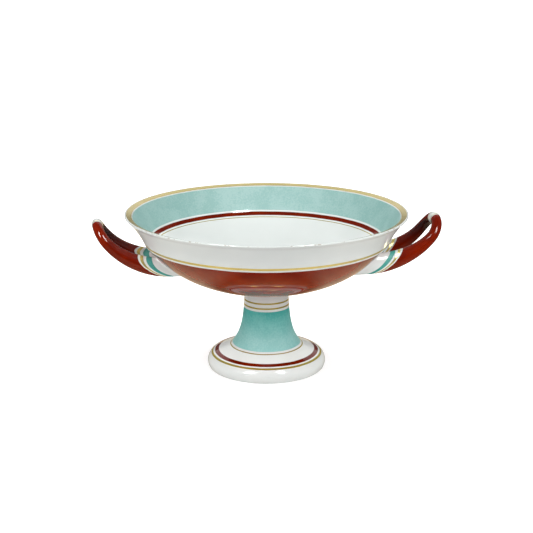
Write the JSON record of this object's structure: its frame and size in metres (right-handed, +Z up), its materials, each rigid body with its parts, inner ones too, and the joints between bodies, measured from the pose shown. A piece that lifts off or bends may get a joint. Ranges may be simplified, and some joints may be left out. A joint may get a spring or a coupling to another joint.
{
  "type": "kylix-shaped footed bowl",
  "caption": "Wide, shallow kylix-shaped porcelain bowl with an out-turned lip, a flaring hollow stem and foot, and upswept loop handles on opposite sides, for serving or display.",
  "frame": {"origin": "centre of the foot's underside, on the plane that the cup stands on", "axes": "+Z up along the axis that the bowl, stem and foot are turned round; the handles lie along +X and -X"},
  "size_m": [0.31, 0.25, 0.1434],
  "materials": {
    "porcelain": "clear gloss glaze over white porcelain, with painted bands of turquoise, brown-red and gold"
  },
  "bodies": {
    "root": {"kylix_cup": "porcelain"}
  },
  "joints": []
}
